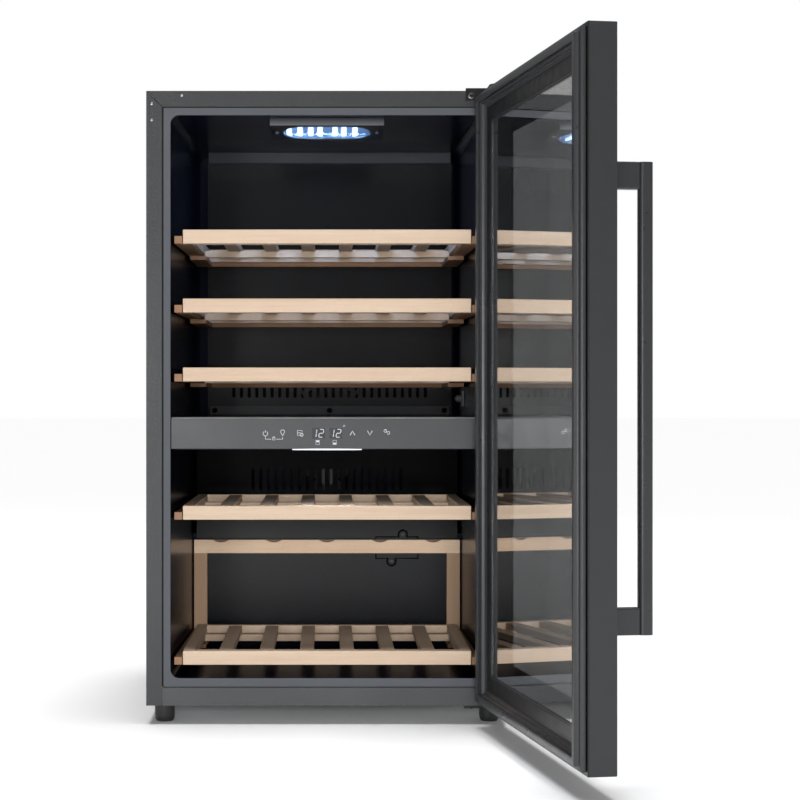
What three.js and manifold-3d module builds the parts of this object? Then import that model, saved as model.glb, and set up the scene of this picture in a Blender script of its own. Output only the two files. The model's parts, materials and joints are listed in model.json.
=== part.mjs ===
// Free-standing two-zone wine cooler: steel case, foamed liner with a control panel between the zones,
// five sliding beech shelves on fixed beech carriers, and a framed double-glazed door with a bar handle.
//
// Millimetres, +X to the right seen from the front, +Y to the back, +Z up. Every piece is laid out with
// Y = 0 at the case's front plane and Z = 0 at its underside; the last group moves the origin to the
// middle of the underside. The door is laid out closed and its group is turned open on the hinge pins.

import * as THREE from 'three';
import { mergeVertices } from 'three/addons/utils/BufferGeometryUtils.js';
import Module from 'manifold-3d';

const wasm = await Module();
wasm.setup();

// ---------------------------------------------------------------- driving dimensions

const GAP = 0.3; // between neighbours that touch
const CASE = { width: 480, depth: 520, height: 816, sheet: 1, flange: 21 };
const HALF = CASE.width / 2;
const LINER = {
  half: 208, bottom: 36, top: 784, corner: 12, wall: 2, flange: 10.5,
  front: 1.3, back: 455, narrowing: 0.0212, // each side wall leans in by this much per mm of depth
};
const HUMP = { face: 345, top: 205 }; // the step in the liner over the compressor
const MACHINE_ROOM = { front: 386, top: 172 };
const BASE = { thickness: 1.5, step: 181, raised: 2.5, front: 4.7, back: 514 };
const TOE_PANEL = { height: 23.5, lip: 32 };
const GRILLE = { slots: 20, pitch: 14, width: 6, left: -190, bottom: 30, top: 145 };
const INLET = {
  x: 153, z: 49, plate: [50, 28], shroud: [29, 21], depth: 22, socket: [24, 15], socketDepth: 16,
};
const DIVIDER = { bottom: 339, faceBottom: 340.8, faceTop: 380.7, top: 383, front: 2.5, back: 454.5 };
const FASCIA = { left: -207.1, right: 203.5, wall: 3, depth: 26 };
const UPPER_DUCT = { middle: 4, half: 186, front: 385, depth: 68, bottom: 383.4, top: 766, wall: 3 };
const UPPER_SLOTS = { count: 26, pitch: 11.7, width: 5, bottom: 409, top: 449 };
const DUCT_RIDGE = {
  half: 182, height: 12.5, proud: 4, screwSpacing: 175, pocketRadius: 4.6, pocketDepth: 3,
};
const LOWER_DUCT = { middle: 0, half: 196, front: 341.5, bottom: 42, top: 337.5, wall: 3 };
const LOWER_SLOTS = { count: 20, pitch: 11.7, width: 5, bottom: 270, top: 302 };
const LIGHT = {
  half: 76.5, front: 24, lip: 773.6, flatFront: 94, flatBack: 112, low: 765, back: 120,
  lens: { y: 61.5, z: 769, half: 59, radius: 30.5, thickness: 2.2, well: 6.5 },
};
const LOWER_LIGHT = { half: 46, front: 1.2, back: 22, bottom: 339.3 };
const BOARD_PLACE = { left: -80, right: 85, front: 12, thickness: 1.6, bottom: 346, top: 378 };
const DISPLAY_MODULE = { places: [-11.3, 11.7], half: 9, front: 6, bottom: 354, top: 369 };
const UPPER_SENSOR = { y: 283, z: 407.7, plate: [26, 23], thickness: 2.5, bulb: 5.4, reach: 8 };
const LOWER_SENSOR = { x: [73, 137], z: [167, 200], thickness: 1.5, ear: 7, ears: [[114, 203], [97, 163]] };

// Each shelf: the height of its top face, and how far back it reaches.
const SHELVES = [
  { top: 633, back: 374 },
  { top: 541, back: 374 },
  { top: 449, back: 374 },
  { top: 264.5, back: 328 },
  { top: 71, back: 317 },
];
const STRIP = { half: 192.3, height: 18.5, front: 12, back: 26 };
const RAIL = { inner: 178, height: 15 };
const SLAT = { width: 18.5, pitch: 54.2, count: 6, thickness: 10 };
const CROSSBAR = { front: 265, back: 283 };
const CARRIER = {
  front: 14, inner: 193.5, wallGap: 4, rearGap: 1.6, lipInner: 184, lip: 3, web: 10, bar: 8,
  block: { inner: 175, outer: 198, front: 232, drop: 6 },
};
const DISPLAY = { half: 199, post: 19.5, rail: 20, top: 196, front: 329, back: 339, bottom: 43 };
const SCOOP = { count: 5, pitch: 79.5, radius: 20, depth: 4 };

const DOOR = { half: 239, bottom: 1, top: 813, outer: -46, inner: -13, border: 45, openAt: 99 };
const HINGE = {
  x: 224, y: -30, pin: 4, bore: 4.5, bush: 2.2, bushLength: 13, plate: 3, armRadius: 11, armInner: 212,
  top: { inner: 185, back: 40 }, bottom: { inner: 182, back: 18 },
  tab: { left: 184, right: 215, bottom: 803, thickness: 1.5 },
};
const GLASS = { thickness: 4, rim: 2.1, innerFace: -14.5 };
const GASKET = {
  base: { inset: 4.5, width: 21.5, front: -6.3 },
  magnet: { inset: 10.3, width: 8.9, front: -0.5 },
};
const SPACER = 3; // as wide as shows past the door frame
const HANDLE = {
  bottom: 150, top: 665, wide: 14, deep: 16, corner: 5.5,
  standOff: 39, inset: 25, postLength: 30, postWidth: 13,
};

const FOOT = {
  x: 218, frontY: 35, rearY: 485, radius: 13.3, height: 25, stem: 5, stemBore: 5.5, wellTop: 22,
};
const FAN = { blades: 5, hub: 15, depth: 10 };
const UPPER_FAN = { x: 4, y: 391, z: 440, radius: 44 };
const LOWER_FAN = { x: 0, y: 347.5, z: 292, radius: 36 };
const CONDENSER = { x: [-160, -30], y: [402, 502], z: [12, 112] };
const CONDENSER_FAN = { x: -30.5, y: 452, z: 62, radius: 41, frame: 92, depth: 25 };
const COMPRESSOR = { x: 108, y: 452, radius: 54, bottom: 15, top: 146 };

// ---------------------------------------------------------------- finishes

const finish = (color, roughness, metalness = 0) =>
  new THREE.MeshStandardMaterial({ color, roughness, metalness });

const PAINT = finish(0x474849, 0.55, 0.2);
const LINER_BLACK = finish(0x2a2b2e, 0.2);
const PANEL_GREY = finish(0x626467, 0.3);
const DUCT_BLACK = finish(0x1c1d1f, 0.35);
const BEECH = finish(0xd9b893, 0.6);
const FRAME_BLACK = finish(0x3a3b3d, 0.4, 0.3);
const RUBBER = finish(0x2c2d2f, 0.7);
const SMOKED = finish(0x202326, 0.05);
const STEEL = finish(0x9a9c9e, 0.4, 0.9);
const ALUMINIUM = finish(0xb9bcc0, 0.35, 0.9);
const FOAM = finish(0xe6dcb6, 0.9);
const BOARD = finish(0x1f4a33, 0.6);
const LENS = finish(0xdfeaff, 0.2);

// ---------------------------------------------------------------- shapes

const box = (x0, x1, y0, y1, z0, z1) =>
  new THREE.BoxGeometry(x1 - x0, y1 - y0, z1 - z0).translate((x0 + x1) / 2, (y0 + y1) / 2, (z0 + z1) / 2);

const outline = (points) => new THREE.Shape(points.map(([a, b]) => new THREE.Vector2(a, b)));

const extruded = (shape, length, curveSegments = 4) =>
  new THREE.ExtrudeGeometry(shape, { depth: length, bevelEnabled: false, curveSegments });

// An outline in X and Y, raised from z0 to z1.
const alongZ = (shape, z0, z1, segments) => extruded(shape, z1 - z0, segments).translate(0, 0, z0);

// An outline in X and Z, carried from y0 back to y1.
const alongY = (shape, y0, y1, segments) =>
  extruded(shape, y1 - y0, segments).rotateX(Math.PI / 2).translate(0, y1, 0);

// An outline in Y and Z, carried from x0 to x1.
const yzToX = new THREE.Matrix4().makeBasis(
  new THREE.Vector3(0, 1, 0), new THREE.Vector3(0, 0, 1), new THREE.Vector3(1, 0, 0));
const alongX = (shape, x0, x1, segments) =>
  extruded(shape, x1 - x0, segments).applyMatrix4(yzToX).translate(x0, 0, 0);

function roundedRectangle(x0, x1, y0, y1, r) {
  const shape = new THREE.Shape();
  shape.absarc(x1 - r, y1 - r, r, 0, Math.PI / 2);
  shape.absarc(x0 + r, y1 - r, r, Math.PI / 2, Math.PI);
  shape.absarc(x0 + r, y0 + r, r, Math.PI, Math.PI * 1.5);
  shape.absarc(x1 - r, y0 + r, r, Math.PI * 1.5, Math.PI * 2);
  return shape;
}

// Cylinders, each from one end to the other along its axis.
const postZ = (x, y, z0, z1, r, sides = 24) =>
  new THREE.CylinderGeometry(r, r, z1 - z0, sides).rotateX(Math.PI / 2).translate(x, y, (z0 + z1) / 2);
const postY = (x, z, y0, y1, r, sides = 24) =>
  new THREE.CylinderGeometry(r, r, y1 - y0, sides).translate(x, (y0 + y1) / 2, z);
const postX = (y, z, x0, x1, r, sides = 24) =>
  new THREE.CylinderGeometry(r, r, x1 - x0, sides).rotateZ(Math.PI / 2).translate((x0 + x1) / 2, y, z);

// ---------------------------------------------------------------- joining and cutting

function toSolid(geometry) {
  const bare = geometry.clone();
  bare.deleteAttribute('normal');
  bare.deleteAttribute('uv');
  const merged = mergeVertices(bare, 1e-4);
  return new wasm.Manifold(new wasm.Mesh({
    numProp: 3,
    vertProperties: new Float32Array(merged.attributes.position.array),
    triVerts: new Uint32Array(merged.index.array),
  }));
}

function toGeometry(solid) {
  const mesh = solid.getMesh();
  const geometry = new THREE.BufferGeometry();
  geometry.setAttribute('position', new THREE.BufferAttribute(mesh.vertProperties, 3));
  geometry.setIndex(new THREE.BufferAttribute(mesh.triVerts, 1));
  return geometry;
}

const union = (...shapes) =>
  toGeometry(shapes.map(toSolid).reduce((whole, next) => whole.add(next)));
const cut = (shape, ...tools) =>
  toGeometry(tools.map(toSolid).reduce((left, tool) => left.subtract(tool), toSolid(shape)));
const common = (a, b) => toGeometry(toSolid(a).intersect(toSolid(b)));

// Narrows a shape towards the back, as the liner's side walls do.
const linerHalfAt = (y) => LINER.half - LINER.narrowing * y;
function narrowed(geometry) {
  const place = geometry.attributes.position;
  for (let i = 0; i < place.count; i += 1) {
    place.setX(i, (place.getX(i) * linerHalfAt(place.getY(i))) / LINER.half);
  }
  return geometry;
}

// ---------------------------------------------------------------- the tree of pieces

const cooler = new THREE.Group();
const fixed = new THREE.Group();
const door = new THREE.Group();
cooler.add(fixed, door);

function piece(name, geometry, material, parent = fixed) {
  const mesh = new THREE.Mesh(geometry, material);
  mesh.name = name;
  parent.add(mesh);
}

// ---------------------------------------------------------------- case

// A side sheet with its return flange in front, mitred where it meets the top one.
function sidePanel(side) {
  const inner = HALF - CASE.flange;
  const flange = outline([
    [side * HALF, 0], [side * inner, 0],
    [side * inner, CASE.height - CASE.flange], [side * HALF, CASE.height],
  ]);
  const [x0, x1] = [side * HALF, side * (HALF - CASE.sheet)].sort((a, b) => a - b);
  return union(
    box(x0, x1, 0, CASE.depth - CASE.sheet - GAP, 0, CASE.height),
    alongY(flange, 0, CASE.sheet),
  );
}

function topPanel() {
  const edge = HALF - CASE.sheet - GAP;
  const mitre = HALF - CASE.flange - 0.6;
  const low = CASE.height - CASE.flange;
  const flange = outline([
    [-mitre, low], [mitre, low], [edge, low + edge - mitre], [edge, CASE.height],
    [-edge, CASE.height], [-edge, low + edge - mitre],
  ]);
  return union(
    box(-edge, edge, 0, CASE.depth - CASE.sheet - GAP, CASE.height - CASE.sheet, CASE.height),
    alongY(flange, 0, CASE.sheet),
  );
}

const rearSheet = (z0, z1) =>
  box(-HALF + GAP, HALF - GAP, CASE.depth - CASE.sheet, CASE.depth, z0, z1);

// The floor of the case: a middle pan, and raised sides that carry the feet.
function basePan() {
  const { thickness: t, step, raised } = BASE;
  const edge = HALF - CASE.sheet - GAP - 0.5;
  const half = [
    [step, 0], [step, raised], [edge, raised], [edge, raised + t], [step - t, raised + t], [step - t, t],
  ];
  const mirrored = half.map(([x, z]) => [-x, z]).reverse();
  const pan = alongY(outline([...half, ...mirrored]), BASE.front, BASE.back);
  return cut(pan, ...footPlaces().map(([, x, y]) => postZ(x, y, -1, 10, FOOT.stemBore, 20)));
}

function toePanel() {
  const { height: h, lip } = TOE_PANEL;
  const section = outline([
    [0, 0], [1, 0], [1, h - 1], [4.4, h - 1], [4.4, lip], [3.6, lip], [3.6, h], [0, h],
  ]);
  const half = HALF - CASE.flange - GAP;
  return alongX(section, -half, half);
}

// A box round the middle of the mains inlet.
const aroundInlet = ([width, height], y0, y1) =>
  box(INLET.x - width / 2, INLET.x + width / 2, y0, y1, INLET.z - height / 2, INLET.z + height / 2);

function rearGrille() {
  const [near, far] = [CASE.depth - 2, CASE.depth + 1];
  const slots = [];
  for (let i = 0; i < GRILLE.slots; i += 1) {
    const x = GRILLE.left + i * GRILLE.pitch;
    slots.push(box(x, x + GRILLE.width, near, far, GRILLE.bottom, GRILLE.top));
  }
  const inletHole = aroundInlet(INLET.shroud.map((size) => size + 1), near, far);
  return cut(rearSheet(BASE.raised + BASE.thickness + GAP, MACHINE_ROOM.top + 2), ...slots, inletHole);
}

function mainsInlet() {
  const y = CASE.depth;
  const face = y + 2.5;
  return cut(
    union(aroundInlet(INLET.plate, y + GAP, face), aroundInlet(INLET.shroud, y - INLET.depth, face)),
    aroundInlet(INLET.socket, y - INLET.socketDepth, face + 1),
  );
}

function buildCase() {
  piece('side_panel_left', sidePanel(-1), PAINT);
  piece('side_panel_right', sidePanel(1), PAINT);
  piece('top_panel', topPanel(), PAINT);
  piece('back_panel', rearSheet(MACHINE_ROOM.top + 2 + GAP, CASE.height - CASE.sheet), STEEL);
  piece('base_pan', basePan(), STEEL);
  piece('toe_panel', toePanel(), PAINT);
  piece('rear_grille', rearGrille(), PAINT);
  piece('mains_inlet', mainsInlet(), DUCT_BLACK);
}

// ---------------------------------------------------------------- liner and insulation

// The room inside the liner, grown by a margin on every side but the open front.
function roomShape(margin, frontY) {
  const { half, bottom, top, corner, back } = LINER;
  const stepped = outline([
    [frontY, bottom - margin], [HUMP.face + margin, bottom - margin], [HUMP.face + margin, HUMP.top - margin],
    [back + margin, HUMP.top - margin], [back + margin, top + margin], [frontY, top + margin],
  ]);
  const mouth = roundedRectangle(
    -half - margin, half + margin, bottom - margin, top + margin, corner + margin);
  return narrowed(common(
    alongX(stepped, -half - margin, half + margin),
    alongY(mouth, frontY, back + margin),
  ));
}

function innerLiner() {
  const { half, bottom, top, flange, front, wall } = LINER;
  const border = flange + 12; // most of it lies behind the case's own flange
  const rim = box(-half - border, half + border, front, front + wall, bottom - flange, top + border);
  return cut(union(roomShape(wall, front), rim), roomShape(0, 0));
}

function insulationFoam() {
  const edge = HALF - 2;
  const block = box(-edge, edge, 5, CASE.depth - 2.5, 6, CASE.height - 2.5);
  const machineRoom = box(-HALF, HALF, MACHINE_ROOM.front, CASE.depth, 0, MACHINE_ROOM.top);
  const stemWells = footPlaces().map(([, x, y]) => postZ(x, y, 0, FOOT.wellTop, FOOT.stemBore + 3, 12));
  return cut(block, roomShape(LINER.wall + 1, 0), machineRoom, ...stemWells);
}

// ---------------------------------------------------------------- air ducts, fans and cooling circuit

// A row of upright round-ended vents through a duct cover.
function ventRow({ middle, front, wall }, { count, pitch, width, bottom, top }) {
  const vents = [];
  for (let i = 0; i < count; i += 1) {
    const left = middle + (i - (count - 1) / 2) * pitch - width / 2;
    const vent = roundedRectangle(left, left + width, bottom, top, width / 2 - 0.01);
    vents.push(alongY(vent, front - 1, front + wall + 1, 3));
  }
  return vents;
}

// A round shroud standing off the back of a duct cover, with three struts that hold the fan's motor.
function fanShroud({ x, z, radius }, y0) {
  const depth = 22;
  const ring = cut(
    postY(x, z, y0, y0 + depth, radius + 5, 24),
    postY(x, z, y0 - 1, y0 + depth + 1, radius + 2, 24),
  );
  const strut = (turn) =>
    box(-3, 3, y0 + depth - 5, y0 + depth, 0, radius + 3).rotateY(turn).translate(x, 0, z);
  const motor = postY(x, z, y0 + depth - 7, y0 + depth, FAN.hub, 12);
  return [ring, motor, ...[0, 1, 2].map((i) => strut((i * 2 * Math.PI) / 3))];
}

// A fan wheel on the Y axis through (0, 0), from y = 0 back.
function fanWheel(radius) {
  const blades = [];
  for (let i = 0; i < FAN.blades; i += 1) {
    const blade = box(-11, 11, -0.7, 0.7, FAN.hub - 3, radius)
      .rotateZ(0.45)
      .translate(0, FAN.depth / 2, 0)
      .rotateY((i * 2 * Math.PI) / FAN.blades);
    blades.push(blade);
  }
  return union(postY(0, 0, 0, FAN.depth, FAN.hub, 16), ...blades);
}

function upperDuctCover() {
  const { middle, half, front, depth, bottom, top, wall } = UPPER_DUCT;
  const ridge = DUCT_RIDGE;
  const [left, right] = [middle - half, middle + half];
  const section = outline([
    [left, front], [right, front], [right, front + depth], [right - wall, front + depth],
    [right - wall, front + wall], [left + wall, front + wall],
    [left + wall, front + depth], [left, front + depth],
  ]);
  const face = front - ridge.proud;
  const screwed = box(
    middle - ridge.half, middle + ridge.half, face, front + 1, bottom, bottom + ridge.height);
  const pockets = [-1, 0, 1].map((i) => postY(
    middle + i * ridge.screwSpacing, bottom + ridge.height / 2, face - 1, face + ridge.pocketDepth,
    ridge.pocketRadius));
  return cut(
    union(alongZ(section, bottom, top), screwed, ...fanShroud(UPPER_FAN, front + 2)),
    ...ventRow(UPPER_DUCT, UPPER_SLOTS), ...pockets,
  );
}

function lowerDuctCover() {
  const { middle, half, front, bottom, top, wall } = LOWER_DUCT;
  const plate = box(middle - half, middle + half, front, front + wall, bottom, top);
  return cut(union(plate, ...fanShroud(LOWER_FAN, front + 2)), ...ventRow(LOWER_DUCT, LOWER_SLOTS));
}

// Upright fins strung on tubes that run across them.
function finBlock([x0, x1], [y0, y1], [z0, z1], fins, rows) {
  const parts = [];
  for (let i = 0; i < fins; i += 1) {
    const x = x0 + ((x1 - x0 - 1) * i) / (fins - 1);
    parts.push(box(x, x + 1, y0, y1, z0, z1));
  }
  for (let i = 0; i < rows; i += 1) {
    const z = z0 + ((z1 - z0) * (i + 0.5)) / rows;
    parts.push(postX((y0 + y1) / 2, z, x0 - 6, x1 + 6, 4, 6));
  }
  return union(...parts);
}

function compressor() {
  const { x, y, radius: r, bottom, top } = COMPRESSOR;
  const profile = new THREE.Path();
  profile.moveTo(0, bottom);
  profile.lineTo(r - 16, bottom);
  profile.absarc(r - 16, bottom + 16, 16, -Math.PI / 2, 0);
  profile.absarc(r - 30, top - 30, 30, 0, Math.PI / 2);
  profile.lineTo(0, top);
  const shell = new THREE.LatheGeometry(profile.getPoints(3), 20).rotateX(Math.PI / 2).translate(x, y, 0);
  const plate = box(x - 64, x + 64, y - 56, y + 56, 12, 15.5);
  const legs = [[-54, -46], [54, -46], [-54, 46], [54, 46]].map(
    ([dx, dy]) => postZ(x + dx, y + dy, BASE.thickness + GAP, 13, 8, 12));
  return union(shell, plate, ...legs);
}

// The condenser's fins lie along the air stream, and the square shroud of its fan stands on their edges.
function condenser() {
  const { x, y, z, radius, frame, depth } = CONDENSER_FAN;
  const [x0, x1] = CONDENSER.x;
  const middle = (x0 + x1) / 2;
  const fins = finBlock(CONDENSER.y.map((v) => v - y), [x0 - middle, x1 - middle], CONDENSER.z, 9, 2)
    .rotateZ(Math.PI / 2)
    .translate(middle, y, 0);
  const h = frame / 2;
  const shroud = cut(
    alongX(roundedRectangle(y - h, y + h, z - h, z + h, 6), x, x + depth),
    postX(y, z, x - 1, x + depth + 1, radius + 2, 24),
  );
  const far = x + depth;
  const strut = (turn) => box(far - 5, far, -3, 3, 0, radius + 3).rotateX(turn).translate(0, y, z);
  const motor = postX(y, z, far - 7, far, FAN.hub, 12);
  return union(fins, shroud, motor, ...[0, 1, 2].map((i) => strut((i * 2 * Math.PI) / 3)));
}

function dripTray() {
  const { x, y } = COMPRESSOR;
  return cut(box(x - 50, x + 50, y - 50, y + 50, 150, 166), box(x - 48, x + 48, y - 48, y + 48, 152, 167));
}

function buildCooling() {
  piece('upper_duct_cover', upperDuctCover(), DUCT_BLACK);
  piece('lower_duct_cover', lowerDuctCover(), DUCT_BLACK);
  for (const [name, { x, y, z, radius }] of [['upper_fan', UPPER_FAN], ['lower_fan', LOWER_FAN]]) {
    piece(name, fanWheel(radius).translate(x, y, z), DUCT_BLACK);
  }
  piece('upper_evaporator', finBlock([-150, 150], [412, 446], [520, 740], 10, 2), ALUMINIUM);
  piece('lower_evaporator', finBlock([-150, 150], [392, 446], [212, 252], 10, 1), ALUMINIUM);
  piece('compressor', compressor(), DUCT_BLACK);
  piece('condenser', condenser(), ALUMINIUM);
  const { x, y, z, radius } = CONDENSER_FAN;
  piece('condenser_fan', fanWheel(radius).rotateZ(-Math.PI / 2).translate(x + 4, y, z), DUCT_BLACK);
  piece('drip_tray', dripTray(), DUCT_BLACK);
}

// ---------------------------------------------------------------- control panel, sensors and lights

function controlFascia() {
  const { faceBottom: low, faceTop, top, front } = DIVIDER;
  const { left, right, wall, depth } = FASCIA;
  const slope = top - faceTop;
  const section = outline([
    [front, low], [depth, low], [depth, low + wall], [front + wall, low + wall],
    [front + wall, faceTop - 1.2], [front + wall + slope - 1.8, top - wall], [depth, top - wall],
    [depth, top], [front + slope, top], [front, faceTop],
  ]);
  return alongX(section, left, right);
}

function zoneDivider() {
  const { bottom, top, back } = DIVIDER;
  const margin = 0.6;
  return narrowed(box(-LINER.half + margin, LINER.half - margin, FASCIA.depth + 0.5, back, bottom, top));
}

function controlBoard() {
  const { left, right, front, thickness, bottom, top } = BOARD_PLACE;
  const shown = DISPLAY_MODULE;
  const displays = shown.places.map(
    (x) => box(x - shown.half, x + shown.half, shown.front, front + 0.5, shown.bottom, shown.top));
  return union(box(left, right, front, front + thickness, bottom, top), ...displays);
}

// Puts a flat shape on the sloping underside of the upper light, with local Z pointing into the housing.
const lightSlope = Math.atan2(LIGHT.low - LIGHT.lip, LIGHT.flatFront - LIGHT.front);
const onLight = (geometry) => geometry.rotateX(lightSlope).translate(0, LIGHT.lens.y, LIGHT.lens.z);

function lensOutline(inset) {
  const x = LIGHT.lens.half - inset;
  const r = LIGHT.lens.radius - inset;
  return roundedRectangle(-x, x, -r, r, r - 0.01);
}

function upperLightHousing() {
  const { half, front, lip, flatFront, flatBack, low, back, lens } = LIGHT;
  const ceiling = LINER.top - GAP;
  const section = outline([
    [front, ceiling], [front, lip], [flatFront, low], [flatBack, low], [back, ceiling],
  ]);
  return cut(alongX(section, -half, half), onLight(alongZ(lensOutline(0), -3, lens.well, 6)));
}

function upperSensor() {
  const { y, z, plate: [deep, high], thickness, bulb, reach } = UPPER_SENSOR;
  const wall = linerHalfAt(y + deep / 2) - GAP;
  const tip = wall - reach;
  return union(
    box(wall - thickness, wall, y - deep / 2, y + deep / 2, z - high / 2, z + high / 2),
    postX(y, z, tip, wall - 2, bulb, 16),
    new THREE.SphereGeometry(bulb, 12, 8).translate(tip, y, z),
  );
}

// A small screwed cover with one ear above and one below.
function lowerSensorCover() {
  const { x, z, thickness, ear, ears } = LOWER_SENSOR;
  const back = LOWER_DUCT.front - GAP;
  const front = back - thickness;
  return union(
    alongY(roundedRectangle(...x, ...z, 3), front, back),
    ...ears.map(([earX, earZ]) => postY(earX, earZ, front, back, ear, 20)),
  );
}

function lowerLightLens() {
  const { half, front, back, bottom } = LOWER_LIGHT;
  return box(-half, half, front, back, bottom, DIVIDER.faceBottom - GAP);
}

function buildControls() {
  piece('control_fascia', controlFascia(), PANEL_GREY);
  piece('control_board', controlBoard(), BOARD);
  piece('zone_divider', zoneDivider(), LINER_BLACK);
  piece('lower_light_lens', lowerLightLens(), LENS);
  piece('upper_light_housing', upperLightHousing(), DUCT_BLACK);
  piece('upper_light_lens', onLight(alongZ(lensOutline(0.4), -0.2, LIGHT.lens.thickness - 0.2, 6)), LENS);
  piece('upper_temperature_sensor', upperSensor(), PANEL_GREY);
  piece('lower_sensor_cover', lowerSensorCover(), PANEL_GREY);
}

// ---------------------------------------------------------------- shelves

// Two side guides that stand off the liner walls, deeper at the back, joined by a rear bar.
function shelfCarrier({ top, back }) {
  const { front, inner, wallGap, rearGap, lipInner, lip, web, bar, block } = CARRIER;
  const rear = back + 1 + bar;
  const bottom = top - STRIP.height;
  const side = (s) => {
    const webPlan = outline([
      [s * inner, front], [s * (linerHalfAt(front) - wallGap), front],
      [s * (linerHalfAt(rear) - rearGap), rear], [s * inner, rear],
    ]);
    const xs = (a, b) => [s * a, s * b].sort((p, q) => p - q);
    return [
      alongZ(webPlan, bottom, bottom + web),
      box(...xs(lipInner, inner + 1), STRIP.back + 1, rear, bottom, bottom + lip),
      box(...xs(block.inner, block.outer), block.front, rear, bottom - block.drop, bottom - GAP),
      box(...xs(lipInner + 1, block.outer), block.front, rear, bottom - 1, bottom + 1),
    ];
  };
  const rearBar = box(-inner - 1, inner + 1, back + 1, rear, bottom - block.drop, bottom + web);
  return union(...side(-1), ...side(1), rearBar);
}

function shelfSlats({ top, back }) {
  const bottom = top - STRIP.height;
  const front = STRIP.back + GAP;
  const parts = [
    box(-RAIL.inner - 1, RAIL.inner + 1, front, front + 12, bottom, top - 1),
    box(-RAIL.inner - 1, RAIL.inner + 1, CROSSBAR.front, CROSSBAR.back, bottom, top - SLAT.thickness + 1),
    box(-RAIL.inner - 1, RAIL.inner + 1, back - 14, back, bottom, top),
  ];
  for (const side of [-1, 1]) {
    const [x0, x1] = [side * RAIL.inner, side * STRIP.half].sort((a, b) => a - b);
    parts.push(box(x0, x1, front, back, top - RAIL.height, top));
  }
  for (let i = 0; i < SLAT.count; i += 1) {
    const x = (i - (SLAT.count - 1) / 2) * SLAT.pitch;
    const half = SLAT.width / 2;
    parts.push(box(x - half, x + half, front + 1, back - 1, top - SLAT.thickness, top - 0.5));
  }
  return union(...parts);
}

const shelfStrip = ({ top }) =>
  box(-STRIP.half, STRIP.half, STRIP.front, STRIP.back, top - STRIP.height, top);

// An upright frame at the back of the bottom compartment, with shallow scoops for bottle necks.
function displayFrame() {
  const { half, post, rail, top, front, back, bottom } = DISPLAY;
  const scoops = [];
  for (let i = 0; i < SCOOP.count; i += 1) {
    const x = (i - (SCOOP.count - 1) / 2) * SCOOP.pitch;
    scoops.push(postY(x, top + SCOOP.radius - SCOOP.depth, front - 1, front + 5, SCOOP.radius, 32));
  }
  return cut(
    box(-half, half, front, back, bottom, top),
    box(-half + post, half - post, front - 1, back + 1, bottom - 1, top - rail),
    ...scoops,
  );
}

function buildShelves() {
  SHELVES.forEach((shelf, i) => {
    const name = `shelf_${i + 1}`;
    piece(`${name}_carrier`, shelfCarrier(shelf), BEECH);
    piece(`${name}_slats`, shelfSlats(shelf), BEECH);
    piece(`${name}_front_strip`, shelfStrip(shelf), BEECH);
  });
  piece('display_frame', displayFrame(), BEECH);
}

// ---------------------------------------------------------------- door, hinges and feet

// A rectangular ring in X and Z, from y0 back to y1, with its hole cut right through.
function ring([x, z0, z1], [ix, iz0, iz1], y0, y1) {
  return cut(box(-x, x, y0, y1, z0, z1), box(-ix, ix, y0 - 1, y1 + 1, iz0, iz1));
}

function doorFrame() {
  const { half, bottom, top, outer, inner, border } = DOOR;
  const bore = (z0, z1) => postZ(HINGE.x, HINGE.y, z0, z1, HINGE.bore + HINGE.bush + 0.4);
  const rim = half - GLASS.rim + GAP;
  return cut(
    ring([half, bottom, top], [half - border, bottom + border, top - border], outer, inner),
    box(-rim, rim, outer - 1, outer + GLASS.thickness + GAP, bottom + GLASS.rim - GAP, top - GLASS.rim + GAP),
    bore(bottom - 1, bottom + HINGE.bushLength + 1), bore(top - HINGE.bushLength - 1, top + 1),
  );
}

function hingeBush(z0, z1) {
  return cut(
    postZ(HINGE.x, HINGE.y, z0, z1, HINGE.bore + HINGE.bush),
    postZ(HINGE.x, HINGE.y, z0 - 1, z1 + 1, HINGE.bore),
  );
}

// A post between the door's face and the bar, flush with the bar's end.
function handlePost(z0) {
  const x = -DOOR.half + HANDLE.inset;
  const near = DOOR.outer - HANDLE.standOff + HANDLE.deep / 2;
  const half = HANDLE.postWidth / 2;
  const section = roundedRectangle(x - half, x + half, z0, z0 + HANDLE.postLength, 2);
  return alongY(section, near + GAP, DOOR.outer - GAP, 3);
}

// One rectangular part of the seal, set in from the door's edge.
function sealPart({ inset, width, front }, back) {
  const { half, bottom, top } = DOOR;
  const outer = [half - inset, bottom + inset, top - inset];
  const inner = [half - inset - width, bottom + inset + width, top - inset - width];
  return ring(outer, inner, back, front);
}

// The seal's broad foot on the door frame, and the narrower magnet strip that meets the case.
const doorGasket = () =>
  union(sealPart(GASKET.base, DOOR.inner + GAP), sealPart(GASKET.magnet, GASKET.base.front - 0.1));

function handleBar() {
  const x = -DOOR.half + HANDLE.inset;
  const y = DOOR.outer - HANDLE.standOff;
  const [hx, hy] = [HANDLE.wide / 2, HANDLE.deep / 2];
  const section = roundedRectangle(x - hx, x + hx, y - hy, y + hy, HANDLE.corner);
  return alongZ(section, HANDLE.bottom, HANDLE.top, 5);
}

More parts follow.
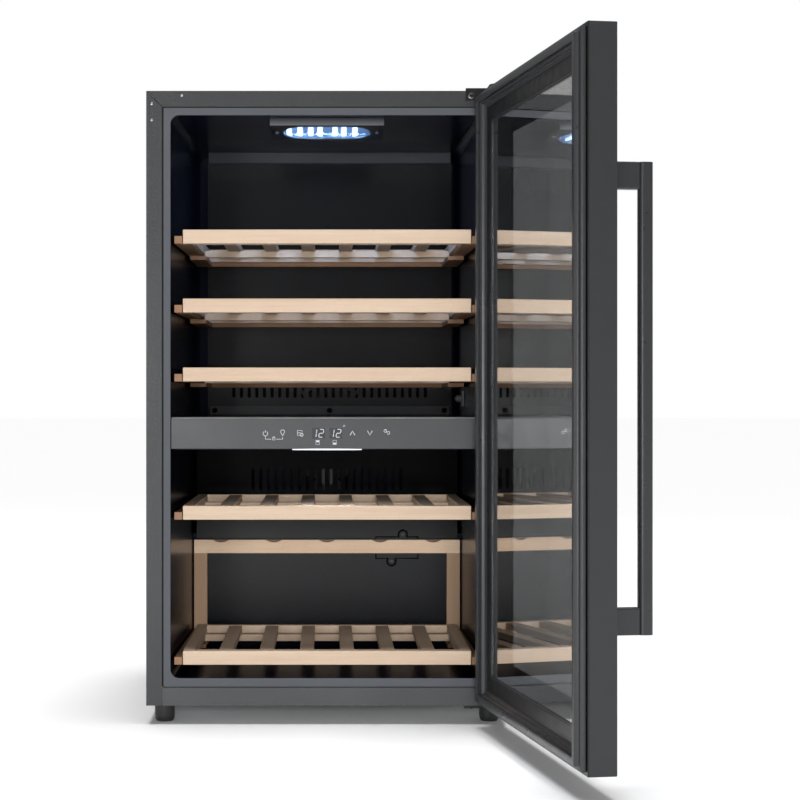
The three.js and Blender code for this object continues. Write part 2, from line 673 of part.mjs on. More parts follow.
function buildDoor() {
  const { half, bottom, top, outer, border } = DOOR;
  const hung = new THREE.Group();
  hung.position.set(-HINGE.x, -HINGE.y, 0);
  door.position.set(HINGE.x, HINGE.y, 0);
  door.rotation.z = THREE.MathUtils.degToRad(DOOR.openAt);
  door.add(hung);

  const rim = half - GLASS.rim;
  const pane = half - border - GAP;
  const lowPane = bottom + border + GAP;
  const highPane = top - border - GAP;

  piece('door_frame', doorFrame(), FRAME_BLACK, hung);
  piece('front_glass',
    box(-rim, rim, outer, outer + GLASS.thickness, bottom + GLASS.rim, top - GLASS.rim), SMOKED, hung);
  piece('inner_glass',
    box(-pane, pane, GLASS.innerFace - GLASS.thickness, GLASS.innerFace, lowPane, highPane), SMOKED, hung);
  piece('glass_spacer',
    ring([pane, lowPane, highPane], [pane - SPACER, lowPane + SPACER, highPane - SPACER],
      outer + GLASS.thickness + GAP, GLASS.innerFace - GLASS.thickness - GAP), ALUMINIUM, hung);
  piece('door_gasket', doorGasket(), RUBBER, hung);
  piece('handle_bar', handleBar(), FRAME_BLACK, hung);
  piece('handle_post_lower', handlePost(HANDLE.bottom), FRAME_BLACK, hung);
  piece('handle_post_upper', handlePost(HANDLE.top - HANDLE.postLength), FRAME_BLACK, hung);
  piece('hinge_bush_bottom', hingeBush(bottom, bottom + HINGE.bushLength), RUBBER, hung);
  piece('hinge_bush_top', hingeBush(top - HINGE.bushLength, top), RUBBER, hung);
}

// A hinge leaf: a foot on the case and a round-ended arm out to the pin.
function hingeLeaf({ inner, back }, z0) {
  const z1 = z0 + HINGE.plate;
  const { x, y, armRadius: r, armInner } = HINGE;
  const edge = HALF - 1;
  const arm = outline([[armInner, 1], [edge, 1], [x + r, y], [x - r, y]]);
  return [box(inner, edge, 0, back, z0, z1), alongZ(arm, z0, z1), postZ(x, y, z0, z1, r, 32)];
}

// The leaf on the case's top has a tab folded down over the front flange.
function topHinge() {
  const z = CASE.height + GAP;
  const { left, right, bottom, thickness } = HINGE.tab;
  const front = -GAP - thickness;
  const pinLow = DOOR.top - HINGE.bushLength + 2;
  return union(
    ...hingeLeaf(HINGE.top, z),
    box(left, right, front, -GAP, bottom, z + HINGE.plate),
    box(left + 1, right, front, 1, z, z + HINGE.plate),
    postZ(HINGE.x, HINGE.y, pinLow, z + 1, HINGE.pin),
  );
}

function bottomHinge() {
  const z = -HINGE.plate - 0.5;
  const pinHigh = DOOR.bottom + HINGE.bushLength - 2;
  return union(...hingeLeaf(HINGE.bottom, z), postZ(HINGE.x, HINGE.y, z + 1, pinHigh, HINGE.pin));
}

function footPlaces() {
  const { x, frontY, rearY } = FOOT;
  return [
    ['front_left', -x, frontY], ['front_right', x, frontY],
    ['rear_left', -x, rearY], ['rear_right', x, rearY],
  ];
}

function foot(x, y) {
  const { radius, height, stem } = FOOT;
  const profile = [
    [0, -height], [radius - 2.5, -height], [radius - 0.6, -height + 3], [radius, -height + 8],
    [radius, BASE.raised - 3], [radius - 2, BASE.raised - 0.8], [stem, BASE.raised - 0.8],
    [stem, BASE.raised + 16], [0, BASE.raised + 16],
  ].map(([r, z]) => new THREE.Vector2(r, z));
  return new THREE.LatheGeometry(profile, 20).rotateX(Math.PI / 2).translate(x, y, 0);
}

function buildHingesAndFeet() {
  piece('hinge_plate_top', topHinge(), PAINT);
  piece('hinge_plate_bottom', bottomHinge(), PAINT);
  for (const [place, x, y] of footPlaces()) {
    piece(`foot_${place}`, foot(x, y), RUBBER);
  }
}

// ---------------------------------------------------------------- assembly

buildCase();
piece('inner_liner', innerLiner(), LINER_BLACK);
piece('insulation_foam', insulationFoam(), FOAM);
buildCooling();
buildControls();
buildShelves();
buildHingesAndFeet();
buildDoor();
cooler.position.y = -CASE.depth / 2;

export default cooler;
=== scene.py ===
import json
import math

import bmesh
import bpy
from mathutils import Matrix, Vector


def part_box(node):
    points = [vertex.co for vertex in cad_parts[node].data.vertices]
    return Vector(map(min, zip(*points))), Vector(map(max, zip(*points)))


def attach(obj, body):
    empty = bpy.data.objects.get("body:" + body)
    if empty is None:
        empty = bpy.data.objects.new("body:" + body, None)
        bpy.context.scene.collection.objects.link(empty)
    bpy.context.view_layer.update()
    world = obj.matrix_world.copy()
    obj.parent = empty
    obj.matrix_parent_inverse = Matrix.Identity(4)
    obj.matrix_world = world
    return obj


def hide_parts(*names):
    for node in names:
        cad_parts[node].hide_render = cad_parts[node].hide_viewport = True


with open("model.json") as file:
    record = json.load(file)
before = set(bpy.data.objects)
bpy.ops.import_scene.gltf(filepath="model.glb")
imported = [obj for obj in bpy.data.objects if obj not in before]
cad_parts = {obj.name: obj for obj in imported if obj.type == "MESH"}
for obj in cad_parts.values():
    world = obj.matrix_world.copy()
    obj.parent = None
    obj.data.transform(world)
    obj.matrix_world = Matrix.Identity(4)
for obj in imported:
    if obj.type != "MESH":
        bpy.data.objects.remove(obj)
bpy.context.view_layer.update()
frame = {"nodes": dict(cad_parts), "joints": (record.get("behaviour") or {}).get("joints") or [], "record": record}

# ---------------------------------------------------------------- places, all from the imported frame

MM = 0.001
NODES = frame["nodes"]
RECORD = frame["record"]
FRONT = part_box("top_panel")[0].y  # the case's front plane
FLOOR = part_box("foot_front_left")[0].z
HINGE = next(j for j in frame["joints"] if j["name"] == "door_hinge")
PIN = Vector(HINGE["pos_m"])
OPEN_TURN = Matrix.Rotation(math.radians(-HINGE["range_deg"][0]), 4, "Z")
# From the closed door to the rest pose.
DOOR = Matrix.Translation(PIN) @ OPEN_TURN @ Matrix.Translation(-PIN)
SHELVES = [f"shelf_{i}" for i in range(1, 6)]
UP = Vector((0, 0, 1))
CORNERS = ((-1, -1), (1, -1), (1, 1), (-1, 1))  # the signs of a rectangle's corners, in order


def shut_box(node):
    """The box of a door node with the door closed."""
    back = DOOR.inverted()
    corners = [back @ v.co for v in NODES[node].data.vertices]
    low = Vector([min(c[i] for c in corners) for i in range(3)])
    high = Vector([max(c[i] for c in corners) for i in range(3)])
    return low, high


# ---------------------------------------------------------------- material building

class Look:
    """A Principled material, with short ways to add procedural detail in the object's own metres."""

    def __init__(self, name, color, roughness, metallic=0.0, **sockets):
        self.material = bpy.data.materials.new(name)
        self.material.use_nodes = True
        self.nodes = self.material.node_tree.nodes
        self.links = self.material.node_tree.links
        self.bsdf = self.nodes["Principled BSDF"]
        self.color = color
        self.set("Base Color", (*color, 1))
        self.set("Roughness", roughness)
        self.set("Metallic", metallic)
        for socket, value in sockets.items():
            self.set(socket.replace("_", " "), value)
        self.place = self.add("ShaderNodeTexCoord").outputs["Object"]

    def set(self, socket, value):
        self.bsdf.inputs[socket].default_value = value

    def add(self, kind, inputs=(), **settings):
        node = self.nodes.new(kind)
        for key, value in settings.items():
            setattr(node, key, value)
        for key, value in dict(inputs).items():
            if isinstance(value, bpy.types.NodeSocket):
                self.links.new(value, node.inputs[key])
            else:
                node.inputs[key].default_value = value
        return node

    def drive(self, socket, source):
        self.links.new(source, self.bsdf.inputs[socket])

    def vector(self, operation, a, b):
        return self.add("ShaderNodeVectorMath", {0: a, 1: b}, operation=operation)

    def axis(self, letter):
        return self.add("ShaderNodeSeparateXYZ", {0: self.place}).outputs[letter]

    def stretched(self, scale):
        return self.vector("MULTIPLY", self.place, scale).outputs[0]

    def noise(self, scale, detail=2.0, vector=None):
        inputs = {"Vector": vector or self.place, "Scale": scale, "Detail": detail}
        return self.add("ShaderNodeTexNoise", inputs).outputs["Fac"]

    def cells(self, scale, vector=None, feature="F1"):
        inputs = {"Vector": vector or self.place, "Scale": scale}
        return self.add("ShaderNodeTexVoronoi", inputs, feature=feature)

    def math(self, operation, a, b=0.0, clamp=False):
        return self.add("ShaderNodeMath", {0: a, 1: b}, operation=operation, use_clamp=clamp).outputs[0]

    def span(self, value, low, high, to_low=0.0, to_high=1.0):
        inputs = {"Value": value, "From Min": low, "From Max": high, "To Min": to_low, "To Max": to_high}
        return self.add("ShaderNodeMapRange", inputs).outputs["Result"]

    def blend(self, factor, a, b):
        a = a if isinstance(a, bpy.types.NodeSocket) else (*a, 1)
        b = b if isinstance(b, bpy.types.NodeSocket) else (*b, 1)
        node = self.add("ShaderNodeMix", data_type="RGBA")
        for index, value in ((0, factor), (6, a), (7, b)):
            if isinstance(value, bpy.types.NodeSocket):
                self.links.new(value, node.inputs[index])
            else:
                node.inputs[index].default_value = value
        return node.outputs[2]

    def tinted(self, factor, darkest, lightest):
        """Base colour from darkest to lightest times the material's own colour."""
        dark = [c * darkest for c in self.color]
        light = [c * lightest for c in self.color]
        self.drive("Base Color", self.blend(factor, dark, light))

    def bump(self, height, depth, strength=1.0):
        inputs = {"Height": height, "Distance": depth, "Strength": strength}
        before = self.bsdf.inputs["Normal"].links
        if before:
            inputs["Normal"] = before[0].from_socket
        self.drive("Normal", self.add("ShaderNodeBump", inputs).outputs["Normal"])


# ---------------------------------------------------------------- materials

def textured_paint(name, color, roughness, depth=0.00035):
    """Powder coat on steel: a coarse pebble grain of 2 to 3 mm over broad, faint unevenness."""
    look = Look(name, color, roughness, 0.0, Specular_IOR_Level=0.5)
    broad = look.noise(7, 3)
    grain = look.noise(420, 3)
    pebble = look.cells(380, feature="SMOOTH_F1").outputs["Distance"]
    tone = look.math("ADD", look.math("MULTIPLY", broad, 0.45), look.math("MULTIPLY", grain, 0.55))
    look.tinted(look.span(tone, 0.35, 0.65), 0.84, 1.16)
    look.drive("Roughness", look.span(grain, 0.3, 0.7, roughness - 0.07, roughness + 0.1))
    look.bump(look.math("ADD", grain, pebble), depth, 0.5)
    return look.material


def satin_paint(name, color, roughness, metallic=0.0):
    """Smooth satin lacquer with the slightest orange peel."""
    look = Look(name, color, roughness, metallic)
    look.tinted(look.noise(11, 3), 0.9, 1.1)
    look.drive("Roughness", look.span(look.noise(60, 3), 0.3, 0.7, roughness - 0.04, roughness + 0.06))
    look.bump(look.noise(330, 2), 0.00006, 0.35)
    return look.material


def liner_plastic():
    """Glossy formed sheet: dark inside, its blue partly painted lamp light; a front flange painted paler as sheen;
    black as painted shadow in the gap at the case's edge.
    """
    look = Look("liner_plastic", (0.006, 0.0066, 0.0085), 0.2, 0.0, Specular_IOR_Level=0.12)
    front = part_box("inner_liner")[0].y
    inside = look.span(look.axis("Y"), front + 1.2 * MM, front + 2.6 * MM)
    across = look.math("ABSOLUTE", look.axis("X"))
    flange_width = 21 * MM
    edge_x, edge_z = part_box("toe_panel")[1].x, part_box("top_panel")[1].z - flange_width
    # Painted shadow: black in the narrow gap where the liner's flange meets the case's flange.
    side_gap_shadow = look.span(across, edge_x - 1.9 * MM, edge_x - 1.5 * MM)
    top_gap_shadow = look.span(look.axis("Z"), edge_z - 1.7 * MM, edge_z - 1.3 * MM)
    gap_shadow = look.math("MAXIMUM", side_gap_shadow, top_gap_shadow)
    uneven = look.noise(9, 2)
    # The flange's pale grey is a painted sheen of the front light on the same dark sheet.
    flange = look.blend(uneven, (0.086, 0.091, 0.103), (0.101, 0.107, 0.120))
    rim = look.blend(gap_shadow, flange, (0.012, 0.012, 0.013))
    # The blue in this dark colour partly paints the cool light of the top lamp.
    deep = look.blend(uneven, (0.0023, 0.0033, 0.0092), (0.0031, 0.0045, 0.0122))
    look.drive("Base Color", look.blend(inside, rim, deep))
    look.drive("Roughness", look.span(inside, 0, 1, 0.55, 0.24))
    look.bump(look.noise(28, 2), 0.0003, 0.08)
    look.bump(look.noise(900, 2), 0.00003, 0.3)
    return look.material


def door_frame_plastic():
    """Satin dark frame whose flat face towards the cabinet is black."""
    look = Look("door_frame_satin", (0.021, 0.022, 0.0235), 0.36)
    inward = tuple(OPEN_TURN @ Vector((0, 1, 0)))
    offset = look.vector("SUBTRACT", look.place, tuple(PIN)).outputs[0]
    depth = look.vector("DOT_PRODUCT", offset, inward).outputs["Value"]
    flat = look.math("GREATER_THAN", depth, shut_box("door_frame")[1].y - PIN.y - 1.6 * MM)
    tone = look.blend(look.noise(11, 3), (0.0195, 0.0205, 0.022), (0.0225, 0.0235, 0.025))
    look.drive("Base Color", look.blend(flat, tone, (0.004, 0.004, 0.0044)))
    look.drive("Roughness", look.span(look.noise(60, 3), 0.3, 0.7, 0.32, 0.42))
    look.bump(look.noise(330, 2), 0.00006, 0.35)
    return look.material


def light_housing():
    """Dark glossy moulding with a front lip painted paler for the sheen it catches, and painted shade darkening
    the lip towards the top.
    """
    look = Look("light_housing_plastic", (0.004, 0.0042, 0.006), 0.22, 0.0, Specular_IOR_Level=0.3)
    low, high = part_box("upper_light_housing")
    lip = look.math("LESS_THAN", look.axis("Y"), low.y + 0.9 * MM)
    # Painted shade: the lip darkens towards the top, under the housing.
    rise = look.span(look.axis("Z"), high.z - 1 * MM, high.z - 10 * MM)
    # Painted sheen: the lip's pale grey stands in for the light it reflects.
    tone = look.blend(look.noise(40, 2), (0.11, 0.112, 0.117), (0.13, 0.132, 0.138))
    face = look.blend(rise, (0.016, 0.018, 0.025), tone)
    look.drive("Base Color", look.blend(lip, (0.004, 0.0042, 0.006), face))
    look.bump(look.noise(1500, 3), 0.00003, 0.5)
    return look.material


def duct_plastic():
    """Near-black duct moulding with a paler screwed ridge along its foot."""
    look = Look("duct_plastic", (0.0034, 0.0036, 0.0042), 0.2, 0.0, Specular_IOR_Level=0.3)
    ridge = look.math("LESS_THAN", look.axis("Y"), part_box("upper_duct_cover")[0].y + 0.5 * MM)
    face = look.blend(look.noise(14, 3), (0.0029, 0.0031, 0.0037), (0.0039, 0.0041, 0.0047))
    look.drive("Base Color", look.blend(ridge, face, (0.023, 0.0245, 0.027)))
    look.bump(look.noise(1500, 3), 0.00003, 0.5)
    return look.material


def lower_duct_plastic():
    """Dark duct moulding, painted black with little shine towards its top under the control panel, as painted
    shade.
    """
    look = Look("lower_duct_plastic", (0.0078, 0.0084, 0.0096), 0.26, 0.0, Specular_IOR_Level=0.32)
    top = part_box("lower_duct_cover")[1].z
    face = look.blend(look.noise(14, 3), (0.0066, 0.0074, 0.0092), (0.0074, 0.0082, 0.0101))
    # Painted shade: black and nearly without shine towards the top, where the wall lies in shadow.
    shade = look.span(look.axis("Z"), top - 135 * MM, top - 60 * MM)
    look.drive("Base Color", look.blend(shade, face, (0.0012, 0.0013, 0.0016)))
    look.drive("Specular IOR Level", look.span(shade, 0, 1, 0.32, 0.04))
    look.bump(look.noise(900, 2), 0.00001, 0.3)
    return look.material


def grained_plastic(name, color, roughness, grain=1400, depth=0.00008, uneven=0.12):
    """Injection-moulded plastic with a spark-eroded grain."""
    look = Look(name, color, roughness)
    look.tinted(look.noise(14, 3), 1 - uneven, 1 + uneven)
    look.drive("Roughness", look.span(look.noise(45, 3), 0.3, 0.7, roughness - 0.05, roughness + 0.07))
    look.bump(look.noise(grain, 3), depth, 0.5)
    return look.material


PALE_BEECH = (0.637, 0.497, 0.376)
TAN_BEECH = (0.546, 0.399, 0.286)


def wood_grain(look, along, shade=(1, 1, 1)):
    """(colour, height) of beech: growth streaks, fine pores and short dark flecks along one axis."""
    def scale(lengthwise, across):
        return tuple(lengthwise if axis == along else across for axis in "XYZ")

    streaks = look.noise(1.0, 4, look.stretched(scale(3.5, 75)))
    pores = look.noise(1.0, 3, look.stretched(scale(26, 950)))
    flecks = look.cells(1.0, look.stretched(scale(95, 620))).outputs["Distance"]
    fleck = look.span(flecks, 0.06, 0.2)
    tone = look.math("ADD", look.math("MULTIPLY", streaks, 0.62), look.math("MULTIPLY", pores, 0.38))
    pale, tan = [[c * k for c, k in zip(wood, shade)] for wood in (PALE_BEECH, TAN_BEECH)]
    body = look.blend(look.span(tone, 0.34, 0.68), pale, tan)
    color = look.blend(fleck, look.blend(0.5, body, (0.42, 0.25, 0.155)), body)
    return color, look.math("SUBTRACT", pores, look.math("MULTIPLY", fleck, -0.4))


def beech(name, along, shade=(1, 1, 1)):
    """Oiled beech with its grain along one axis."""
    look = Look(name, PALE_BEECH, 0.5)
    color, height = wood_grain(look, along, shade)
    look.drive("Base Color", color)
    look.drive("Roughness", look.span(height, 0.3, 1.1, 0.46, 0.6))
    look.bump(height, 0.00007, 0.5)
    return look.material


def frame_beech():
    """The display frame: grain along the rail, painted paler for the light it catches, upright in the posts under
    it, painted darker as shade, and painted shadow in the scoops.
    """
    look = Look("beech_frame", PALE_BEECH, 0.5)
    low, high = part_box("display_frame")
    post_width, rail_height, scoop_depth = 19.5 * MM, 20 * MM, 4.2 * MM
    y, z = look.axis("Y"), look.axis("Z")
    in_post = look.math("GREATER_THAN", look.math("ABSOLUTE", look.axis("X")), high.x - post_width)
    upright = look.math("MULTIPLY", in_post, look.math("LESS_THAN", z, high.z - rail_height))
    # Painted light: the rail's beech is lightened beyond the wood's own colour.
    rail, rail_relief = wood_grain(look, "X", (1.38, 1.34, 1.28))
    # Painted shade: the posts' beech is darkened for the shade they stand in.
    post, post_relief = wood_grain(look, "Z", (0.74, 0.66, 0.58))
    wood = look.blend(upright, rail, post)
    height = look.span(upright, 0, 1, rail_relief, post_relief)
    # Painted shadow: the sunk backs of the scoops are dark brown.
    sunk = look.math("GREATER_THAN", y, low.y + 1.5 * MM)
    scoop_painted_shadow = look.math("MULTIPLY", sunk, look.math("GREATER_THAN", z, high.z - scoop_depth))
    look.drive("Base Color", look.blend(scoop_painted_shadow, wood, (0.22, 0.14, 0.09)))
    look.drive("Roughness", look.span(height, 0.3, 1.1, 0.46, 0.6))
    look.bump(height, 0.00007, 0.5)
    return look.material


def glass(name, tint, coating=0.0):
    """Polished float glass; coating is the share of a metal film that mirrors part of the light."""
    look = Look(name, tint, 0.0, coating, IOR=1.5, Transmission_Weight=1.0)
    look.tinted(look.noise(5, 2), 0.985, 1.0)
    return look.material


def lens_plastic():
    """The clear lens over the row of light diodes, with a faint cool glow."""
    look = Look("lens_plastic", (0.55, 0.68, 0.9), 0.17, 0.0, IOR=1.45, Transmission_Weight=0.92,
                Emission_Strength=0.10)
    look.drive("Emission Color", look.blend(look.noise(120, 3), (0.01, 0.03, 0.10), (0.08, 0.22, 0.6)))
    look.bump(look.noise(500, 2), 0.00004, 0.3)
    return look.material


def glowing(name, color, strength, fade_half=None):
    """A lit surface; with fade_half it dims towards both ends along X."""
    look = Look(name, color, 0.4, 0.0, Emission_Color=(*color, 1), Emission_Strength=strength)
    if fade_half:
        ends = look.span(look.math("ABSOLUTE", look.axis("X")), fade_half * 0.35, fade_half, 1, 0.12)
        look.drive("Emission Color", look.blend(ends, (0.01, 0.01, 0.012), color))
    else:
        look.tinted(look.noise(400, 2), 0.95, 1.0)
    return look.material


def light_board():
    """The reflector behind the diodes: cool light in bands along it, fading towards its long edges."""
    look = Look("light_board_glow", (0.006, 0.008, 0.014), 0.3, Emission_Strength=1.0)
    y = look.axis("Y")
    level = look.span(look.math("ABSOLUTE", y), 9 * MM, 25 * MM, 1, 0)
    bands = look.span(look.math("SINE", look.math("MULTIPLY", y, 2 * math.pi / (9 * MM))), -1, 1, 0.35, 1)
    glow = look.math("MULTIPLY", level, look.math("MULTIPLY", bands, look.noise(90, 3)))
    look.drive("Emission Color", look.blend(glow, (0.004, 0.010, 0.035), (0.55, 0.95, 1.6)))
    return look.material


def galvanised_steel():
    """Zinc-coated sheet with a faint spangle."""
    look = Look("galvanised_steel", (0.52, 0.53, 0.54), 0.42, 0.85)
    spangle = look.cells(75).outputs["Color"]
    tone = look.add("ShaderNodeSeparateXYZ", {0: spangle}).outputs["X"]
    look.tinted(tone, 0.86, 1.08)
    look.drive("Roughness", look.span(tone, 0, 1, 0.34, 0.5))
    look.bump(look.noise(240, 3), 0.00005, 0.3)
    return look.material


def drawn_metal(name, color, roughness):
    """Metal with fine lines left by drawing or rolling."""
    look = Look(name, color, roughness, 1.0)
    lines = look.noise(1.0, 3, look.stretched((900, 900, 14)))
    look.tinted(lines, 0.85, 1.1)
    look.drive("Roughness", look.span(lines, 0.3, 0.7, roughness - 0.06, roughness + 0.1))
    look.bump(lines, 0.00003, 0.3)
    return look.material


def rubber(name, color, roughness):
    """Extruded or moulded rubber."""
    look = Look(name, color, roughness, 0.0, Specular_IOR_Level=0.55)
    look.tinted(look.noise(35, 3), 0.9, 1.12)
    look.drive("Roughness", look.span(look.noise(40, 2), 0.3, 0.7, roughness - 0.03, roughness + 0.05))
    look.bump(look.noise(500, 2), 0.00002, 0.3)
    return look.material


def matte_black(name, level):
    """Black with hardly any shine: print fused to the back of glass, and painted shadow in sunken gaps and
    pockets.
    """
    look = Look(name, (level, level, level * 1.1), 0.7, 0.0, Specular_IOR_Level=0.06)
    look.tinted(look.noise(60, 3), 0.85, 1.15)
    look.bump(look.noise(800, 2), 0.00002, 0.3)
    return look.material


def circuit_board():
    """Green solder mask over tracks and pads."""
    look = Look("circuit_board", (0.012, 0.1, 0.045), 0.4)
    tracks = look.cells(420).outputs["Distance"]
    bare = look.span(tracks, 0.2, 0.3)
    look.drive("Base Color", look.blend(bare, (0.02, 0.16, 0.07), (0.009, 0.085, 0.04)))
    look.bump(tracks, 0.00005, 0.4)
    return look.material


def foam_skin():
    """The pale, uneven skin of poured insulation foam."""
    look = Look("foam_skin", (0.78, 0.68, 0.42), 0.9)
    look.tinted(look.noise(30, 4), 0.85, 1.1)
    look.bump(look.noise(220, 4), 0.0006, 0.6)
    return look.material


HINGE_PAINT = satin_paint("hinge_paint", (0.006, 0.0061, 0.0065), 0.36)
LOWER_DUCT = lower_duct_plastic()
LOWER_LENS_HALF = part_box("lower_light_lens")[1].x
BLACK_PRINT = matte_black("black_ceramic_print", 0.0035)
# Near-black as painted shadow, in the gap round the sensor cover and the duct's screw pockets.
SHADOW_GAP_BLACK = matte_black("black_painted_shadow", 0.001)
PRINT_WHITE = glowing("touch_mark_white", (0.62, 0.63, 0.65), 0.2)
DIGIT_WHITE = glowing("digit_white", (0.5, 0.52, 0.56), 0.45)
DIODE = glowing("light_diode", (0.70, 0.85, 1.0), 9.0)
LIGHT_BOARD = light_board()
# Paler than the liner, to paint the band of lamp light above the duct.
LIGHT_BAND_RUBBER = rubber("painted_light_band_rubber", (0.027, 0.028, 0.031), 0.5)
SCREW_BLACK = satin_paint("black_zinc_screw", (0.05, 0.05, 0.053), 0.16, 0.85)
SCREW_STEEL = drawn_metal("zinc_screw", (0.55, 0.55, 0.56), 0.34)
SCREW_GREY = drawn_metal("plated_screw", (0.2, 0.2, 0.21), 0.36)

SLOT_LOOKS = {
    "case_paint": textured_paint("case_paint", (0.034, 0.0352, 0.0370), 0.4),
    "galvanised": galvanised_steel(),
    "liner_black": liner_plastic(),
    "panel_grey": grained_plastic("fascia_plastic", (0.054, 0.0562, 0.0605), 0.36, 1800, 0.00001, 0.04),
    "duct_black": duct_plastic(),
    "sensor_grey": grained_plastic("sensor_plastic", (0.10, 0.104, 0.11), 0.38),
    "light_lens": lens_plastic(),
    "inner_plastic": grained_plastic("inner_plastic", (0.012, 0.012, 0.0125), 0.45),
    "fin_aluminium": drawn_metal("fin_aluminium", (0.72, 0.73, 0.75), 0.34),
    "compressor_paint": satin_paint("compressor_paint", (0.006, 0.006, 0.0065), 0.22),
    "circuit_board": circuit_board(),
    "foam": foam_skin(),
    "beech": beech("beech_along_y", "Y"),
    "door_frame_grey": door_frame_plastic(),
    "handle_grey": satin_paint("handle_satin", (0.030, 0.0315, 0.034), 0.3, 0.25),
    "smoked_glass": glass("smoked_glass", (0.385, 0.39, 0.395)),
    "seal_rubber": rubber("seal_rubber", (0.026, 0.027, 0.030), 0.3),
    "foot_rubber": rubber("foot_rubber", (0.018, 0.018, 0.0185), 0.5),
}
NODE_LOOKS = {
    "toe_panel": textured_paint("toe_paint", (0.060, 0.062, 0.066), 0.5, 0.0001),
    "hinge_plate_top": HINGE_PAINT,
    "hinge_plate_bottom": HINGE_PAINT,
    "lower_duct_cover": LOWER_DUCT,
    "lower_sensor_cover": LOWER_DUCT,
    "upper_light_housing": light_housing(),
    "inner_glass": glass("coated_inner_glass", (0.985, 0.99, 0.985), 0.43),
    "glass_spacer": BLACK_PRINT,
    "lower_light_lens": glowing("lower_light_glow", (0.88, 0.93, 1.0), 1.2, LOWER_LENS_HALF),
    "display_frame": frame_beech(),
}
STRIP_BEECH = beech("beech_along_x", "X")
# The carriers' beech is darker: partly for their end grain, partly painted shade under the shelves.
CARRIER_BEECH = beech("carrier_beech_painted_shade_along_y", "Y", (0.5, 0.36, 0.27))
NODE_LOOKS.update({f"{shelf}_front_strip": STRIP_BEECH for shelf in SHELVES})
NODE_LOOKS.update({f"{shelf}_carrier": CARRIER_BEECH for shelf in SHELVES})


def dress_nodes():
    """Gives every CAD node its material."""
    for part in RECORD["subparts"]:
        node, slot = part["node"], part["material_slot"]
        mesh = NODES[node].data
        mesh.materials.clear()
        mesh.materials.append(NODE_LOOKS.get(node, SLOT_LOOKS[slot]))
    for pane in ("front_glass", "inner_glass"):
        NODES[pane].visible_shadow = False


# ---------------------------------------------------------------- CAD edges

# Edge radii in millimetres.
ROUNDED = {
    0.35: ["toe_panel", "hinge_plate_top", "hinge_plate_bottom", "lower_sensor_cover",
           "upper_temperature_sensor", "handle_post_lower", "handle_post_upper", "mains_inlet",
           "rear_grille", "back_panel"],
    0.45: ["side_panel_left", "side_panel_right", "top_panel"],
    0.5: ["front_glass", "inner_glass", "upper_duct_cover", "lower_duct_cover", "glass_spacer"],
    0.8: ["control_fascia", "door_frame", "display_frame", "inner_liner", "upper_light_housing",
          "handle_bar"],
    0.9: [f"{shelf}_{part}" for shelf in SHELVES for part in ("carrier", "slats", "front_strip")],
}


def smooth_node(obj):
    """Smooth shading over welded vertices, without the CAD's own normals."""
    mesh = obj.data
    custom = mesh.attributes.get("custom_normal")
    if custom:
        mesh.attributes.remove(custom)
    mesh.shade_smooth()
    obj.modifiers.new("weld", "WELD").merge_threshold = 0.01 * MM


def round_over(obj, width):
    """Rounds edges sharper than 40 degrees; width is in millimetres."""
    bevel = obj.modifiers.new("edge", "BEVEL")
    bevel.width = width * MM
    bevel.segments = 2
    bevel.limit_method = "ANGLE"
    bevel.angle_limit = math.radians(40)


def round_edges():
    """Breaks the CAD's sharp edges and smooths its round faces."""
    widths = {node: width for width, group in ROUNDED.items() for node in group}
    for name, obj in NODES.items():
        smooth_node(obj)
        if name in widths:
            round_over(obj, widths[name])
            obj.modifiers.new("normals", "WEIGHTED_NORMAL")
        else:
            obj.modifiers.new("split", "EDGE_SPLIT").split_angle = math.radians(35)


# ---------------------------------------------------------------- mesh building

def place_mesh(name, mesh, material, body, place=Matrix()):
    """Puts a mesh of one material at place, to move with body."""
    mesh.materials.clear()
    mesh.materials.append(material)
    obj = bpy.data.objects.new(name, mesh)
    bpy.context.scene.collection.objects.link(obj)
    obj.matrix_world = place
    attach(obj, body)
    return obj


def finished(name, bm, sharp=35):
    """The mesh of a bmesh, smooth but for edges sharper than that many degrees."""
    bmesh.ops.recalc_face_normals(bm, faces=bm.faces)
    mesh = bpy.data.meshes.new(name)
    bm.to_mesh(mesh)
    bm.free()
    mesh.shade_smooth()
    mesh.set_sharp_from_angle(angle=math.radians(sharp))
    return mesh


def prism(bm, ring, travel):
    """A closed prism: a ring of points carried along travel."""
    near = [bm.verts.new(p) for p in ring]
    far = [bm.verts.new(Vector(p) + Vector(travel)) for p in ring]
    bm.faces.new(near)
    bm.faces.new(far[::-1])
    for i in range(len(ring)):
        bm.faces.new((near[i], near[i - 1], far[i - 1], far[i]))


def lathe(bm, profile, sides):
    """Turns (radius, height) points round local Z and closes both ends with a disc."""
    rings = []
    for radius, height in profile:
        turns = [2 * math.pi * i / sides for i in range(sides)]
        rings.append([bm.verts.new((radius * math.cos(t), radius * math.sin(t), height)) for t in turns])
    for low, high in zip(rings, rings[1:]):
        for i in range(sides):
            bm.faces.new((low[i - 1], low[i], high[i], high[i - 1]))
    bm.faces.new(rings[0])
    bm.faces.new(rings[-1][::-1])


def mitred_loop(bm, half_x, low_z, high_z, profile):
    """A closed profile of (inset, y) points carried round the four sides of a rectangle, mitred."""
    rings = []
    for inset, y in profile:
        xs, low, high = half_x - inset, low_z + inset, high_z - inset
        corners = [(-xs, y, low), (xs, y, low), (xs, y, high), (-xs, y, high)]
        rings.append([bm.verts.new(c) for c in corners])
    for ring, after in zip(rings, rings[1:] + rings[:1]):
        for i in range(4):
            bm.faces.new((ring[i - 1], ring[i], after[i], after[i - 1]))


def facing(normal, point):
    """Puts local +Z along normal at a point."""
    return Matrix.Translation(point) @ Vector(normal).to_track_quat("Z", "Y").to_matrix().to_4x4()


